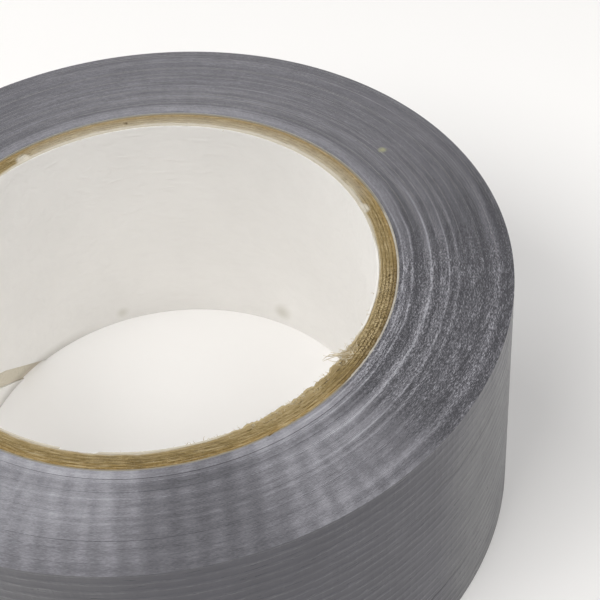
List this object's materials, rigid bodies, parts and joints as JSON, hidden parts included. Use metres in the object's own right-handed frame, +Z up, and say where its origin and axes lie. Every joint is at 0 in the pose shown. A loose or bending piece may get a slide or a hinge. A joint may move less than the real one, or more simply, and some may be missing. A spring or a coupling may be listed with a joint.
{
  "type": "duct tape roll",
  "caption": "Roll of grey cloth-backed duct tape wound on a paper core, with a free tape end that lifts off the roll.",
  "frame": {"origin": "where the roll's axis, which is the core's bore axis, meets the surface that the roll lies on", "axes": "+Z up along the bore axis; the tape's free end lies 172 degrees round from +X towards +Y"},
  "size_m": [0.1205, 0.1207, 0.0481],
  "materials": {
    "liner_paper": "matte",
    "kraft_board": "matte",
    "cover_paper": "matte",
    "wound_tape": "matte",
    "adhesive": "satin",
    "scrim": "matte",
    "film": "satin"
  },
  "bodies": {
    "roll": {"core_inner_liner": "liner_paper", "core_kraft_ply_1": "kraft_board", "core_kraft_ply_2": "kraft_board", "core_kraft_ply_3": "kraft_board", "core_kraft_ply_4": "kraft_board", "core_kraft_ply_5": "kraft_board", "core_outer_cover": "cover_paper", "wound_tape": "wound_tape", "outer_turn_adhesive": "adhesive", "outer_turn_scrim": "scrim", "outer_turn_film": "film"},
    "tape_end": {"tape_end_adhesive": "adhesive", "tape_end_scrim": "scrim", "tape_end_film": "film"}
  },
  "joints": [
    {"name": "tape_end_peel", "type": "hinge", "parent": "roll", "child": "tape_end", "pos_m": [-0.05391, 0.02745, 0.024], "axis": [0, 0, -1], "range_deg": [0, 120]}
  ]
}
